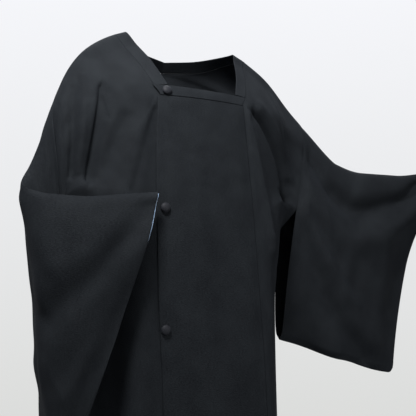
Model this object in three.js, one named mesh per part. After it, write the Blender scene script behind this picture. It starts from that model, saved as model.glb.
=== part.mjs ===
import * as THREE from 'three';

// ---------------------------------------------------------------------------------------------
// Michiyuki coat: a kimono coat with a square neckline, worn and held in the pose of its wearer.
// Millimetres, +Z up. The coat faces -Y and the wearer's left is +X. The origin lies between the
// two points where the neckband crosses the tops of the shoulders.
//
// Every piece of cloth is a closed wall of even thickness. A body half is one length of cloth that
// runs from the front hem over the shoulder to the back hem. A sleeve is one length folded over
// the arm, sewn to the body along the armhole, open below it, and sewn shut below the hand.
// ---------------------------------------------------------------------------------------------

// Driving dimensions.
const CLOTH = 1.8;            // outer cloth, lining and seam allowances together
const LINING = 1.0;           // the edge of the lining inside a cuff
const SEAM = 0.3;             // space left between two pieces at a seam
const ARMHOLE_SEAM = 0.6;     // the same along an armhole, where both pieces curve
const SLEEVE_WIDTH = 346;     // armhole to cuff, on the cloth
const SLEEVE_DROP = 455;      // top fold to bottom fold, on the cloth
const ARMHOLE = 0.42;         // share of the drop that is sewn to the body
const HAND_OPENING = 0.5;     // share of the drop that is left open at the cuff
const CORNER = 20;            // radius of the sleeve's round lower corner
const LAP_BOW = 8;            // how far the front panels stand out between their seams
const LAP_CLEAR = 4.5;        // how far the upper front panel lies in front of the lower one
const BUTTON = 18;            // diameter of a covered button
const BUTTON_RISE = 7;
const LINING_SHOWS = 1.2;     // how far the cuff lining stands past the cuff edge
const LINED = 0.36;           // share of the drop down to which the cuff lining shows
const LEAST_OPEN = 0.3;       // how near a fold may bring a sleeve's layers, of their even distance

// Places along a body half, as shares of the way from the shoulder (0) to a hem (-1 front, 1 back).
const HEM = 1;
const SEWN_TO_SLEEVE = 0.45;
const BAR_TOP = 0.1705;
const BAND_END = 0.17;
const BAR_FOOT = 0.1985;
const PANEL_TOP = 0.2;
const BACK_NECK = 0.12;

// Shares of the way across: between the two front seams for the panels and bars, and from the neck
// opening to the seam for the neckband.
const UPPER_PANEL_EDGE = -0.05;
const UPPER_BAR_EDGE = -0.02;
const LOWER_EDGE = 0.88;
const LAP_GAP = 0.0045;
const BAND_GAP = 0.014;
const SHOULDER_GAP = 0.0015;  // half the gap between the front and the back neckband, along them

// The grid rows of a body half: [place, rows since the place before].
const BODY_ROWS = [
  [-HEM, 0], [-SEWN_TO_SLEEVE, 11], [-PANEL_TOP, 13], [-BAND_END, 1],
  [0, 8], [BACK_NECK, 8], [SEWN_TO_SLEEVE, 9], [HEM, 10],
];
const PANEL_ROWS = [[-HEM, 0], [-SEWN_TO_SLEEVE, 9], [-PANEL_TOP, 6]];
const BAR_ROWS = [[-BAR_FOOT, 0], [-BAR_TOP, 2]];
const FRONT_BAND_ROWS = [[-BAND_END, 0], [-SHOULDER_GAP, 8]];
const BACK_BAND_ROWS = [[SHOULDER_GAP, 0], [BACK_NECK, 8]];

const CHARCOAL = 0x24262b;
const BAND_TONE = 0x282a30;
const BUTTON_TONE = 0x2c2e34;
const LINING_TONE = 0x9db4cc;

// The inner edge of each half's cloth: along the neckband's seam, then down the front panel's seam
// on one side of the shoulder and down the centre-back seam on the other. `fall` is the slope with
// which the cloth leaves that edge, and `round` how full its curve is on the way to the far edge.
const INNER_EDGE = {
  right: [
    { at: -1.00, x: -76, y: -130, z: -900, fall: 0.00, round: 0.42 },
    { at: -0.80, x: -79, y: -127, z: -700, fall: 0.00, round: 0.42 },
    { at: -0.60, x: -87, y: -121, z: -500, fall: 0.00, round: 0.42 },
    { at: -0.45, x: -89, y: -113, z: -345, fall: 0.00, round: 0.40 },
    { at: -0.30, x: -86, y: -101, z: -222, fall: -0.08, round: 0.38 },
    { at: -0.20, x: -81, y: -91, z: -141, fall: -0.16, round: 0.36 },
    { at: -0.17, x: -93, y: -82, z: -118, fall: -0.20, round: 0.36 },
    { at: -0.10, x: -110, y: -45, z: -67, fall: -0.28, round: 0.36 },
    { at: -0.05, x: -126, y: -19, z: -33, fall: -0.46, round: 0.42 },
    { at: 0.00, x: -142, y: 5, z: -1, fall: -0.55, round: 0.44 },
    { at: 0.04, x: -127, y: 44, z: -6, fall: -0.46, round: 0.42 },
    { at: 0.08, x: -78, y: 84, z: -23, fall: -0.25, round: 0.40 },
    { at: 0.12, x: -0.15, y: 101, z: -33, fall: -0.10, round: 0.50 },
    { at: 0.20, x: -0.15, y: 111, z: -108, fall: -0.04, round: 0.50 },
    { at: 0.45, x: -0.15, y: 121, z: -345, fall: 0.00, round: 0.46 },
    { at: 0.60, x: -0.15, y: 114, z: -480, fall: 0.00, round: 0.46 },
    { at: 0.80, x: -0.15, y: 110, z: -690, fall: 0.00, round: 0.46 },
    { at: 1.00, x: -0.15, y: 118, z: -900, fall: 0.00, round: 0.46 },
  ],
  left: [
    { at: -1.00, x: 118, y: -138, z: -900, fall: 0.00, round: 0.34 },
    { at: -0.80, x: 114, y: -135, z: -700, fall: 0.00, round: 0.34 },
    { at: -0.60, x: 104, y: -129, z: -500, fall: 0.00, round: 0.36 },
    { at: -0.45, x: 97, y: -120, z: -345, fall: 0.00, round: 0.40 },
    { at: -0.30, x: 92, y: -107, z: -222, fall: -0.08, round: 0.38 },
    { at: -0.20, x: 90, y: -96, z: -141, fall: -0.16, round: 0.36 },
    { at: -0.17, x: 101, y: -86, z: -120, fall: -0.20, round: 0.36 },
    { at: -0.10, x: 122, y: -48, z: -72, fall: -0.28, round: 0.36 },
    { at: -0.05, x: 132, y: -20, z: -39, fall: -0.42, round: 0.40 },
    { at: 0.00, x: 141, y: 5, z: -11, fall: -0.50, round: 0.42 },
    { at: 0.04, x: 127, y: 44, z: -12, fall: -0.42, round: 0.40 },
    { at: 0.08, x: 78, y: 84, z: -25, fall: -0.25, round: 0.40 },
    { at: 0.12, x: 0.15, y: 101, z: -33, fall: -0.10, round: 0.50 },
    { at: 0.20, x: 0.15, y: 111, z: -108, fall: -0.04, round: 0.50 },
    { at: 0.45, x: 0.15, y: 121, z: -345, fall: 0.00, round: 0.46 },
    { at: 0.60, x: 0.15, y: 114, z: -480, fall: 0.00, round: 0.46 },
    { at: 0.80, x: 0.15, y: 110, z: -690, fall: 0.00, round: 0.46 },
    { at: 1.00, x: 0.15, y: 118, z: -900, fall: 0.00, round: 0.46 },
  ],
};

// The side edges below the armhole. `open` is half the space between the front's and the back's
// edge: the side is open under the arm and sewn from there down.
const SIDE_EDGE = {
  right: [
    { at: 0.52, x: -222, y: 0, z: -392, open: 26 },
    { at: 0.62, x: -200, y: 0, z: -492, open: 0.3 },
    { at: 0.80, x: -195, y: 0, z: -690, open: 0.3 },
    { at: 1.00, x: -200, y: 0, z: -900, open: 0.3 },
  ],
  left: [
    { at: 0.52, x: 202, y: 0, z: -386, open: 26 },
    { at: 0.62, x: 185, y: 0, z: -492, open: 0.3 },
    { at: 0.80, x: 178, y: 0, z: -690, open: 0.3 },
    { at: 1.00, x: 174, y: 0, z: -900, open: 0.3 },
  ],
};

// The neck opening's edge, for the same places as the inner edge.
const NECK_EDGE = {
  right: [
    { at: -0.17, x: -67, y: -90, z: -117 },
    { at: -0.10, x: -86, y: -51, z: -60 },
    { at: -0.05, x: -103, y: -22, z: -24 },
    { at: 0.00, x: -119, y: 3, z: 8 },
    { at: 0.04, x: -104, y: 36, z: 4 },
    { at: 0.08, x: -62, y: 68, z: -4 },
    { at: 0.12, x: -0.15, y: 84, z: -12 },
  ],
  left: [
    { at: -0.17, x: 76, y: -91, z: -118.6 },
    { at: -0.10, x: 98, y: -53, z: -64 },
    { at: -0.05, x: 109, y: -24, z: -29 },
    { at: 0.00, x: 118, y: 3, z: -2 },
    { at: 0.04, x: 104, y: 36, z: -1 },
    { at: 0.08, x: 62, y: 68, z: -6 },
    { at: 0.12, x: 0.15, y: 84, z: -12 },
  ],
};

// A sleeve's stations from the armhole (0) to the cuff (1). x, y and z place the top fold; the
// bottom fold hangs `drop` lower, moved sideways by toX and toY. `curl` is how much of that
// move comes early, near the top (over 0), or late. `back` and `front` are how far the two layers
// stand off the middle of the hanging sleeve, and `steady` is how firmly they keep facing backwards
// and forwards where the sleeve turns.
const STATIONS = {
  right: [
    { at: 0.00, x: -257, y: 5, z: -147, drop: 452, toX: 36, toY: 0, curl: 0, back: 58, front: 56, steady: 8 },
    { at: 0.12, x: -268, y: 8, z: -182, drop: 452, toX: 30, toY: -2, curl: 0.1, back: 51, front: 47, steady: 10 },
    { at: 0.22, x: -277, y: 6, z: -218, drop: 450, toX: 30, toY: -6, curl: 0.5, back: 43, front: 37, steady: 12 },
    { at: 0.34, x: -300, y: -4, z: -276, drop: 450, toX: 40, toY: -12, curl: 0.8, back: 27, front: 24, steady: 12 },
    { at: 0.43, x: -322, y: -34, z: -317, drop: 450, toX: 44, toY: -18, curl: 0.9, back: 6, front: 16, steady: 0 },
    { at: 0.54, x: -286, y: -76, z: -338, drop: 450, toX: 10, toY: -18, curl: 0.8, back: 26, front: 24, steady: 0 },
    { at: 0.70, x: -226, y: -112, z: -344, drop: 450, toX: -40, toY: -16, curl: 0.2, back: 34, front: 30, steady: 0 },
    { at: 0.86, x: -162, y: -131, z: -338, drop: 450, toX: -98, toY: -12, curl: -0.2, back: 29, front: 21, steady: 0 },
    { at: 1.00, x: -106, y: -140, z: -332, drop: 452, toX: -150, toY: -12, curl: -0.3, back: 22, front: 13, steady: 0 },
  ],
  left: [
    { at: 0.00, x: 284, y: 0, z: -139, drop: 452, toX: -72, toY: -20, curl: 0.57, back: 56, front: 40, steady: 0 },
    { at: 0.25, x: 370, y: -8, z: -216, drop: 396, toX: -85, toY: -20, curl: 0.57, back: 48, front: 44, steady: 0 },
    { at: 0.50, x: 430, y: -22, z: -233, drop: 400, toX: -82, toY: -15, curl: 0.57, back: 42, front: 40, steady: 0 },
    { at: 0.75, x: 510, y: -36, z: -234, drop: 418, toX: -92, toY: -8, curl: 0.57, back: 36, front: 34, steady: 0 },
    { at: 1.00, x: 608, y: -42, z: -219, drop: 444, toX: -130, toY: -3, curl: 0.57, back: 28, front: 25, steady: 0 },
  ],
};

// How full a sleeve is between its two layers, by share of the drop: round over the arm, slack
// below it, and flat at the bottom fold.
const FULLNESS = [
  { at: 0.00, share: 0.00 },
  { at: 0.02, share: 0.36 },
  { at: 0.06, share: 0.62 },
  { at: 0.12, share: 0.82 },
  { at: 0.25, share: 1.00 },
  { at: 0.45, share: 0.90 },
  { at: 0.70, share: 0.62 },
  { at: 0.90, share: 0.42 },
  { at: 0.97, share: 0.28 },
  { at: 1.00, share: 0.00 },
];

// Folds. Each is a soft ridge (over 0) or trough (under 0), in millimetres of height, along a line
// that bows sideways by `bow`; its height goes from `start` to `end`, and `width` is its reach to
// either side. On the body a place is x, z; on a sleeve it is the way from the armhole and the way
// down from the top fold. `middle` folds move both layers of a sleeve together.
const BODY_FOLDS = {
  right: {
    front: [
      { from: [-196, -128], to: [-233, -352], bow: 0, start: -3, end: -11, width: 17 },
      { from: [-207, -64], to: [-243, -320], bow: -14, start: -2, end: -4, width: 17 },
      { from: [-112, -150], to: [-198, -292], bow: 0, start: -4, end: -8, width: 22 },
      { from: [-104, -160], to: [-178, -420], bow: -4, start: 3, end: 7, width: 22 },
      { from: [-116, -470], to: [-146, -900], bow: 0, start: 3, end: 7, width: 18 },
      { from: [-166, -440], to: [-182, -900], bow: 0, start: -8, end: -16, width: 24 },
    ],
    back: [
      { from: [-236, -300], to: [-120, -215], bow: 6, start: -10, end: -3, width: 24 },
      { from: [-238, -335], to: [-95, -300], bow: 8, start: 8, end: 3, width: 24 },
      { from: [-86, -170], to: [-116, -520], bow: -6, start: -3, end: -8, width: 26 },
      { from: [-52, -480], to: [-66, -900], bow: 0, start: 2, end: 7, width: 24 },
      { from: [-128, -560], to: [-140, -900], bow: 0, start: -4, end: -11, width: 24 },
    ],
  },
  left: {
    front: [
      { from: [112, -140], to: [207, -345], bow: 9, start: -5, end: -16, width: 22 },
      { from: [134, -118], to: [231, -300], bow: 6, start: 4, end: 6, width: 17 },
      { from: [104, -185], to: [140, -420], bow: 11, start: 3, end: 6, width: 15 },
      { from: [150, -460], to: [154, -900], bow: 0, start: -3, end: -5, width: 20 },
    ],
    back: [
      { from: [236, -300], to: [116, -205], bow: -6, start: -10, end: -3, width: 24 },
      { from: [238, -332], to: [88, -320], bow: -8, start: 8, end: 3, width: 24 },
      { from: [72, -160], to: [104, -540], bow: 6, start: -3, end: -9, width: 24 },
      { from: [44, -520], to: [58, -900], bow: 0, start: 2, end: 6, width: 26 },
      { from: [118, -600], to: [126, -900], bow: 0, start: -3, end: -10, width: 22 },
    ],
  },
};

const SLEEVE_FOLDS = {
  right: {
    back: [
      { from: [336, 26], to: [196, 216], bow: -14, start: -9, end: -14, width: 26 },
      { from: [330, 70], to: [262, 330], bow: -16, start: 4, end: 8, width: 24 },
      { from: [150, 30], to: [204, 124], bow: 0, start: 4, end: 4, width: 18 },
      { from: [20, 120], to: [96, 300], bow: 0, start: -8, end: -12, width: 26 },
      { from: [70, 60], to: [120, 330], bow: 8, start: 6, end: 9, width: 26 },
    ],
    front: [
      { from: [84, 12], to: [92, 130], bow: 0, start: 5, end: 4, width: 20 },
    ],
    middle: [
      { from: [250, 330], to: [262, 455], bow: 0, start: 2, end: 9, width: 28 },
      { from: [180, 300], to: [190, 455], bow: 0, start: 0, end: -9, width: 28 },
      { from: [60, 300], to: [54, 455], bow: 0, start: 0, end: 8, width: 28 },
    ],
  },
  left: {
    back: [
      { from: [10, 80], to: [330, 40], bow: 60, start: -9, end: -7, width: 26 },
      { from: [6, 196], to: [240, 400], bow: 6, start: 6, end: 10, width: 32 },
      { from: [60, 260], to: [300, 410], bow: 0, start: -5, end: -8, width: 26 },
    ],
    front: [
      { from: [10, 60], to: [330, 30], bow: 62, start: -8, end: -7, width: 24 },
      { from: [8, 192], to: [256, 404], bow: 8, start: 5, end: 11, width: 32 },
      { from: [10, 222], to: [238, 436], bow: 12, start: -6, end: -9, width: 24 },
      { from: [300, 190], to: [316, 380], bow: 0, start: -4, end: -3, width: 24 },
    ],
    middle: [
      { from: [70, 330], to: [74, 455], bow: 0, start: 0, end: 7, width: 28 },
      { from: [150, 340], to: [156, 455], bow: 0, start: 0, end: -8, width: 28 },
      { from: [230, 330], to: [236, 455], bow: 0, start: 0, end: 6, width: 28 },
    ],
  },
};

const BUTTONS = [
  { name: 'button_top', at: -0.187, share: 0.075 },
  { name: 'button_middle', at: -0.461, share: 0.03 },
  { name: 'button_lower', at: -0.671, share: 0.0 },
];

const SIGN = { right: -1, left: 1 };

// ---------------------------------------------------------------------------------------------
// Curves through tables
// ---------------------------------------------------------------------------------------------

// One named column of a table at a place between its rows, by a cubic that never overshoots them.
function column(rows, name, at) {
  const last = rows.length - 1;
  if (at <= rows[0].at) return rows[0][name];
  if (at >= rows[last].at) return rows[last][name];
  let row = 0;
  while (at > rows[row + 1].at) row += 1;
  const slope = (k) => (rows[k + 1][name] - rows[k][name]) / (rows[k + 1].at - rows[k].at);
  const tangent = (k) => {
    if (k === 0) return slope(0);
    if (k === last) return slope(last - 1);
    const before = slope(k - 1);
    const after = slope(k);
    return before * after <= 0 ? 0 : (2 * before * after) / (before + after);
  };
  const span = rows[row + 1].at - rows[row].at;
  const t = (at - rows[row].at) / span;
  const s = 1 - t;
  return rows[row][name] * s * s * (1 + 2 * t)
    + rows[row + 1][name] * t * t * (1 + 2 * s)
    + tangent(row) * span * t * s * s
    - tangent(row + 1) * span * t * t * s;
}

function place(rows, at) {
  return new THREE.Vector3(column(rows, 'x', at), column(rows, 'y', at), column(rows, 'z', at));
}

function smoothstep(from, to, value) {
  const t = THREE.MathUtils.clamp((value - from) / (to - from), 0, 1);
  return t * t * (3 - 2 * t);
}

// Places from row to row of [place, steps since the row before].
function spaced(rows) {
  const places = [rows[0][0]];
  rows.slice(1).forEach(([to, steps], k) => {
    const from = rows[k][0];
    for (let step = 1; step <= steps; step += 1) places.push(from + (to - from) * step / steps);
  });
  return places;
}

function shares(count, ease = 0) {
  return Array.from({ length: count + 1 }, (_, k) => {
    const even = k / count;
    return even * (1 - ease) + ease * 0.5 * (1 - Math.cos(Math.PI * even));
  });
}

// The height of a table of folds at one place.
function relief(folds, a, b) {
  let height = 0;
  for (const fold of folds) {
    const alongA = fold.to[0] - fold.from[0];
    const alongB = fold.to[1] - fold.from[1];
    const length = Math.hypot(alongA, alongB);
    const awayA = a - fold.from[0];
    const awayB = b - fold.from[1];
    const way = (awayA * alongA + awayB * alongB) / length;
    const share = THREE.MathUtils.clamp(way / length, 0, 1);
    const aside = (awayB * alongA - awayA * alongB) / length - fold.bow * 4 * share * (1 - share);
    const beyond = way - share * length;
    const distance = Math.hypot(aside, beyond) / fold.width;
    height += (fold.start + (fold.end - fold.start) * share) * Math.exp(-distance * distance);
  }
  return height;
}

// ---------------------------------------------------------------------------------------------
// Walls of cloth
// ---------------------------------------------------------------------------------------------

// The direction across a grid of points, seen from the side that `facing` (1 or -1) names.
function gridNormals(grid, loop, facing) {
  const rows = grid.length;
  const columns = grid[0].length;
  return grid.map((row, i) => row.map((_, j) => {
    const above = grid[Math.min(i + 1, rows - 1)][j];
    const below = grid[Math.max(i - 1, 0)][j];
    const next = row[loop ? (j + 1) % columns : Math.min(j + 1, columns - 1)];
    const previous = row[loop ? (j + columns - 1) % columns : Math.max(j - 1, 0)];
    const along = new THREE.Vector3().subVectors(above, below);
    const across = new THREE.Vector3().subVectors(next, previous);
    return along.cross(across).normalize().multiplyScalar(facing);
  }));
}

// A closed wall around a grid of points. With `loop` the last column joins the first. `normals`
// gives the directions across the wall, where it shares some with the piece that it is sewn to.
function wall(grid, { loop = false, facing = 1, thickness = CLOTH, normals = null } = {}) {
  const rows = grid.length;
  const columns = grid[0].length;
  const across = normals ?? gridNormals(grid, loop, facing);
  const positions = [];
  for (const side of [0.5, -0.5]) {
    grid.forEach((row, i) => row.forEach((point, j) => {
      const moved = point.clone().addScaledVector(across[i][j], side * thickness);
      positions.push(moved.x, moved.y, moved.z);
    }));
  }
  const outer = (i, j) => i * columns + (j % columns);
  const inner = (i, j) => rows * columns + outer(i, j);
  const indices = [];
  const quad = (a, b, c, d) => {
    if (facing > 0) indices.push(a, b, c, a, c, d);
    else indices.push(a, c, b, a, d, c);
  };
  const cells = loop ? columns : columns - 1;
  for (let i = 0; i < rows - 1; i += 1) {
    for (let j = 0; j < cells; j += 1) {
      quad(outer(i, j), outer(i + 1, j), outer(i + 1, j + 1), outer(i, j + 1));
      quad(inner(i, j), inner(i, j + 1), inner(i + 1, j + 1), inner(i + 1, j));
    }
  }
  for (let j = 0; j < cells; j += 1) {
    quad(outer(0, j), outer(0, j + 1), inner(0, j + 1), inner(0, j));
    quad(outer(rows - 1, j + 1), outer(rows - 1, j), inner(rows - 1, j), inner(rows - 1, j + 1));
  }
  if (!loop) {
    for (let i = 0; i < rows - 1; i += 1) {
      quad(outer(i + 1, 0), outer(i, 0), inner(i, 0), inner(i + 1, 0));
      quad(outer(i, columns - 1), outer(i + 1, columns - 1),
        inner(i + 1, columns - 1), inner(i, columns - 1));
    }
  }
  const geometry = new THREE.BufferGeometry();
  geometry.setAttribute('position', new THREE.Float32BufferAttribute(positions, 3));
  geometry.setIndex(indices);
  geometry.computeVertexNormals();
  return geometry;
}

function cloth(name, geometry, colour) {
  const material = new THREE.MeshStandardMaterial({ color: colour, roughness: 0.85, metalness: 0 });
  const mesh = new THREE.Mesh(geometry, material);
  mesh.name = name;
  return mesh;
}

// ---------------------------------------------------------------------------------------------
// Sleeves
// ---------------------------------------------------------------------------------------------

// The middle of the hanging sleeve, between its two layers.
function sleeveMiddle(side, at, down) {
  const rows = STATIONS[side];
  const swing = down * (1 + column(rows, 'curl', at) * (1 - down));
  const point = place(rows, at);
  point.x += column(rows, 'toX', at) * swing;
  point.y += column(rows, 'toY', at) * swing;
  const toCuff = (1 - at) * SLEEVE_WIDTH;
  const corner = toCuff < CORNER ? CORNER - Math.sqrt(CORNER ** 2 - (CORNER - toCuff) ** 2) : 0;
  point.z -= (column(rows, 'drop', at) - corner) * down;
  return point;
}

// A point on one layer of a sleeve: `layer` is 1 for the back layer and -1 for the front one.
function sleevePoint(side, at, down, layer) {
  const step = 0.02;
  const before = sleeveMiddle(side, Math.max(at - step, 0), down);
  const after = sleeveMiddle(side, Math.min(at + step, 1), down);
  const travel = after.sub(before).setZ(0);
  travel.x += SIGN[side] * column(STATIONS[side], 'steady', at);
  travel.normalize();
  const toBack = new THREE.Vector3(-travel.y, travel.x, 0).multiplyScalar(SIGN[side]);
  const face = layer > 0 ? 'back' : 'front';
  const folds = SLEEVE_FOLDS[side];
  const along = at * SLEEVE_WIDTH;
  const below = down * SLEEVE_DROP;
  const fromSeam = smoothstep(0, 0.06, at) * smoothstep(0, 0.06, down);
  const even = column(STATIONS[side], face, at) * column(FULLNESS, 'share', down);
  const folded = even + relief(folds[face], along, below) * fromSeam;
  const touching = Math.min(even, 0.5 * (CLOTH + SEAM));
  const open = Math.max(folded, LEAST_OPEN * even, touching);
  const shut = smoothstep(0.7, 1, at) * smoothstep(0.3 * HAND_OPENING, HAND_OPENING, down);
  const stand = layer * (open + (touching - open) * shut);
  const sway = relief(folds.middle, along, below) * smoothstep(0, 0.2, at);
  return sleeveMiddle(side, at, down).addScaledVector(toBack, stand + sway);
}

// A sleeve's rings run from the top fold down the back layer and up the front layer.
function sleeveGrid(side, stations, drops) {
  return stations.map((at) => {
    const back = drops.map((down) => sleevePoint(side, at, down, 1));
    const front = drops.slice(1, -1).reverse().map((down) => sleevePoint(side, at, down, -1));
    return [...back, ...front];
  });
}

// The direction in which the cloth faces along the armhole seam, shared by body and sleeve.
function armholeNormal(side, down, layer) {
  const step = 0.01;
  const low = Math.max(down - step, 0);
  const along = sleevePoint(side, 0, down + step, layer).sub(
    down > step ? sleevePoint(side, 0, low, layer) : sleevePoint(side, 0, step, -layer));
  const away = sleevePoint(side, 0.04, down, layer).sub(sleevePoint(side, 0, down, layer));
  return away.cross(along).normalize().multiplyScalar(layer * SIGN[side]);
}

// A sleeve starts a seam's space away from the body, and its lining is made from its own cuff.
function sleevePieces(side) {
  const drops = shares(19, 0.55);
  const grid = sleeveGrid(side, shares(20), drops);
  const columns = grid[0].length;
  const facing = SIGN[side];
  grid[0].forEach((point, j) => point.add(grid[1][j].clone().sub(point).setLength(ARMHOLE_SEAM)));
  const normals = gridNormals(grid, true, facing);
  drops.forEach((down, k) => {
    if (down > ARMHOLE + 0.02) return;
    normals[0][k] = armholeNormal(side, down, 1);
    if (k > 0) normals[0][columns - k] = armholeNormal(side, down, -1);
  });
  return [
    cloth(`sleeve_${side}`, wall(grid, { loop: true, facing, normals }), CHARCOAL),
    cuffLining(side, grid, normals, drops.filter((down) => down < LINED).length - 1),
  ];
}

// The lining's edge, which shows inside the hand opening: the cuff's last two rings moved inwards.
function cuffLining(side, grid, normals, reach) {
  const columns = grid[0].length;
  const last = grid.length - 1;
  const inward = 0.5 * CLOTH + 2 * SEAM + 0.5 * LINING;
  const ring = (i) => {
    const points = [];
    for (let k = -reach; k <= reach; k += 1) {
      const j = (k + columns) % columns;
      points.push(grid[i][j].clone().addScaledVector(normals[i][j], -inward));
    }
    return points;
  };
  const deep = ring(last - 1);
  const edge = ring(last);
  const shown = edge.map((point, k) => {
    const out = point.clone().sub(deep[k]).setLength(LINING_SHOWS);
    return out.add(point);
  });
  const strip = wall([deep, edge, shown], { facing: SIGN[side], thickness: LINING });
  return cloth(`cuff_lining_${side}`, strip, LINING_TONE);
}

// ---------------------------------------------------------------------------------------------
// Body halves
// ---------------------------------------------------------------------------------------------

// The far edge of a body half: the sleeve's first ring, then the open side and the side seam.
function farEdge(side, at) {
  const layer = at < 0 ? -1 : 1;
  const reach = Math.abs(at);
  if (reach <= SEWN_TO_SLEEVE) {
    return sleevePoint(side, 0, ARMHOLE * reach / SEWN_TO_SLEEVE, layer);
  }
  const end = sleevePoint(side, 0, ARMHOLE, layer);
  const below = SIDE_EDGE[side].map((row) => ({ ...row, y: row.y + layer * row.open }));
  return place([{ at: SEWN_TO_SLEEVE, x: end.x, y: end.y, z: end.z }, ...below], reach);
}

// The direction in which the cloth arrives at the far edge.
function arrival(side, at) {
  const layer = at < 0 ? -1 : 1;
  const reach = Math.abs(at);
  const down = ARMHOLE * Math.min(reach / SEWN_TO_SLEEVE, 1);
  const intoSleeve = sleevePoint(side, 0.04, down, layer)
    .sub(sleevePoint(side, 0, down, layer)).normalize();
  const intoSide = new THREE.Vector3(0, -layer, 0);
  return intoSleeve.lerp(intoSide, smoothstep(SEWN_TO_SLEEVE - 0.1, 0.6, reach)).normalize();
}

// A point of a body half, `across` of the way from its inner edge to its far edge.
function bodyPoint(side, at, across) {
  const start = place(INNER_EDGE[side], at);
  const end = farEdge(side, at);
  const handle = start.distanceTo(end) * column(INNER_EDGE[side], 'round', at);
  const leaving = new THREE.Vector3(SIGN[side], 0, column(INNER_EDGE[side], 'fall', at)).normalize();
  const curve = new THREE.CubicBezierCurve3(
    start,
    start.clone().addScaledVector(leaving, handle),
    end.clone().addScaledVector(arrival(side, at), -handle),
    end,
  );
  return curve.getPoint(across);
}

// A body half, with its folds raised between its seams.
function bodyHalf(side) {
  const places = spaced(BODY_ROWS);
  const across = shares(15, 0.15);
  const grid = places.map((at) => across.map((share) => bodyPoint(side, at, share)));
  const facing = -SIGN[side];
  const flat = gridNormals(grid, false, facing);
  places.forEach((at, i) => across.forEach((share, j) => {
    const folds = BODY_FOLDS[side][at < 0 ? 'front' : 'back'];
    const point = grid[i][j];
    const fromSeams = smoothstep(0, 0.14, share) * smoothstep(1, 0.86, share);
    point.addScaledVector(flat[i][j], relief(folds, point.x, point.z) * fromSeams);
  }));
  const normals = gridNormals(grid, false, facing);
  places.forEach((at, i) => {
    if (at >= -BAND_END && at <= BACK_NECK) normals[i][0] = neckNormal(side, at);
    if (Math.abs(at) > SEWN_TO_SLEEVE) return;
    const down = ARMHOLE * Math.abs(at) / SEWN_TO_SLEEVE;
    normals[i][across.length - 1] = armholeNormal(side, down, at < 0 ? -1 : 1);
  });
  return cloth(`body_${side}`, wall(grid, { facing, normals }), CHARCOAL);
}

// ---------------------------------------------------------------------------------------------
// Front panels, neckband, buttons
// ---------------------------------------------------------------------------------------------

// A point between the two front seams: 0 on the right one, 1 on the left one. The right one lies
// `overRight` and the left one `overLeft` in front of the body halves' own edges.
function lapPoint(at, share, overRight, overLeft) {
  const right = place(INNER_EDGE.right, at);
  const left = place(INNER_EDGE.left, at);
  const point = right.lerp(left, share);
  point.y -= LAP_BOW * 4 * share * (1 - share);
  point.y -= overRight + (overLeft - overRight) * share;
  return point;
}

const upperLap = (at, share) => lapPoint(at, share, LAP_CLEAR, 0);
const lowerLap = (at, share) => lapPoint(at, share, 0, -LAP_CLEAR);

function lapWall(name, lap, places, from, to, colour) {
  const across = shares(8).map((share) => from + (to - from) * share);
  const grid = places.map((at) => across.map((share) => lap(at, share)));
  return cloth(name, wall(grid, { facing: -1 }), colour);
}

function frontPanels() {
  const panel = spaced(PANEL_ROWS);
  const bar = spaced(BAR_ROWS);
  return [
    lapWall('front_panel_upper', upperLap, panel, UPPER_PANEL_EDGE, 1 - LAP_GAP, CHARCOAL),
    lapWall('front_panel_lower', lowerLap, panel, LAP_GAP, LOWER_EDGE, CHARCOAL),
    lapWall('neck_bar_upper', upperLap, bar, UPPER_BAR_EDGE, 1 - LAP_GAP, BAND_TONE),
    lapWall('neck_bar_lower', lowerLap, bar, LAP_GAP, LOWER_EDGE, BAND_TONE),
  ];
}

// The neckband lies between the neck opening's edge and a body half's inner edge.
function bandPoint(side, at, share) {
  return place(NECK_EDGE[side], at).lerp(place(INNER_EDGE[side], at), share);
}

// The direction in which the cloth faces along the neckband's seam, shared by band and body.
function neckNormal(side, at) {
  const step = 0.01;
  const along = place(INNER_EDGE[side], Math.min(at + step, BACK_NECK))
    .sub(place(INNER_EDGE[side], at - step));
  const across = bodyPoint(side, at, 0.05).sub(bandPoint(side, at, 0.5));
  return along.cross(across).normalize().multiplyScalar(-SIGN[side]);
}

function neckband(name, side, places) {
  const across = shares(3).map((share) => share * (1 - BAND_GAP));
  const grid = places.map((at) => across.map((share) => bandPoint(side, at, share)));
  const facing = -SIGN[side];
  const normals = gridNormals(grid, false, facing);
  places.forEach((at, i) => {
    normals[i][across.length - 1] = neckNormal(side, at);
  });
  return cloth(name, wall(grid, { facing, normals }), BAND_TONE);
}

function neckbands() {
  const front = spaced(FRONT_BAND_ROWS);
  const back = spaced(BACK_BAND_ROWS);
  return [
    neckband('neckband_right', 'right', front),
    neckband('neckband_left', 'left', front),
    neckband('neckband_back_right', 'right', back),
    neckband('neckband_back_left', 'left', back),
  ];
}

// A covered button: a dome on a flat back, lying on the upper front panel.
function button({ name, at, share }) {
  const radius = 0.5 * BUTTON;
  const rim = 0.2 * BUTTON_RISE;
  const dome = new THREE.EllipseCurve(0, rim, radius, BUTTON_RISE - rim, 0, 0.5 * Math.PI);
  const profile = [
    new THREE.Vector2(0, 0),
    new THREE.Vector2(0.8 * radius, 0),
    ...dome.getPoints(4).map((point) => point.setX(Math.max(point.x, 0))),
  ];
  profile[profile.length - 1].x = 0;
  const geometry = new THREE.LatheGeometry(profile, 16);
  const step = 0.002;
  const seat = upperLap(at, share);
  const along = upperLap(at + step, share).sub(seat);
  const across = upperLap(at, share + step).sub(seat);
  const outward = along.cross(across).normalize();
  if (outward.y > 0) outward.negate();
  const mesh = cloth(name, geometry, BUTTON_TONE);
  mesh.quaternion.setFromUnitVectors(new THREE.Vector3(0, 1, 0), outward);
  mesh.position.copy(seat).addScaledVector(outward, 0.5 * CLOTH + SEAM);
  return mesh;
}

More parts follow.
